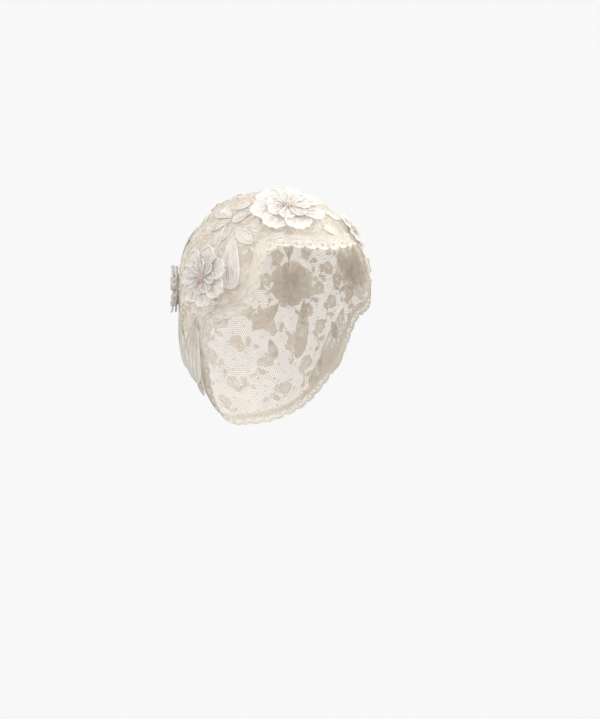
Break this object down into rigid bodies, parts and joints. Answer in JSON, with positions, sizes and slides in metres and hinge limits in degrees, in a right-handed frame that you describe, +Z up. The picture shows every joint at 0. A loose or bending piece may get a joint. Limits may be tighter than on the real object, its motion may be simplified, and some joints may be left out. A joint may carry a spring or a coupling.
{
  "type": "lace juliet cap",
  "caption": "Close-fitting lace cap open at the face, with a scalloped edge along brow, temples, ears and nape, and sewn-on lace blossoms and leaves.",
  "frame": {"origin": "inside of the highest point of the crown, where the cap rests on the top of the head", "axes": "+Z up, -Y toward the open face, +X toward the wearer's left"},
  "size_m": [0.1704, 0.1877, 0.2156],
  "materials": {
    "net": "fine ecru lace net, matt and sheer",
    "edging": "dense ecru lace with a corded scalloped edge, matt",
    "blossoms": "ivory corded guipure lace, matt",
    "leaves": "ivory corded lace with a raised vein, matt",
    "knots": "pinkish beige thread knots"
  },
  "bodies": {
    "root": {"back_blossom_left_knots": "knots", "back_blossom_left_petals": "blossoms", "back_blossom_right_knots": "knots", "back_blossom_right_petals": "blossoms", "back_crown_blossom_inner_petals": "blossoms", "back_crown_blossom_knots": "knots", "back_crown_blossom_petals": "blossoms", "back_leaf_left": "leaves", "back_leaf_right": "leaves", "back_top_leaf_left": "leaves", "back_top_leaf_right": "leaves", "crown_blossom_inner_petals": "blossoms", "crown_blossom_knots": "knots", "crown_blossom_petals": "blossoms", "crown_leaf_left": "leaves", "crown_leaf_right": "leaves", "crown_side_leaf_left": "leaves", "crown_side_leaf_right": "leaves", "ear_leaf_right": "leaves", "face_leaf_right": "leaves", "lace_ground": "net", "nape_leaf_left": "leaves", "nape_leaf_right": "leaves", "scallop_edging": "edging", "side_blossom_left_inner_petals": "blossoms", "side_blossom_left_knots": "knots", "side_blossom_left_petals": "blossoms", "side_blossom_right_inner_petals": "blossoms", "side_blossom_right_knots": "knots", "side_blossom_right_petals": "blossoms", "tail_leaf_back_left": "leaves", "tail_leaf_back_right": "leaves", "tail_leaf_long_left": "leaves", "tail_leaf_long_right": "leaves", "tail_leaf_tip_left": "leaves", "tail_leaf_tip_right": "leaves", "temple_blossom_left_knots": "knots", "temple_blossom_left_petals": "blossoms", "temple_leaf_right": "leaves"}
  },
  "joints": []
}
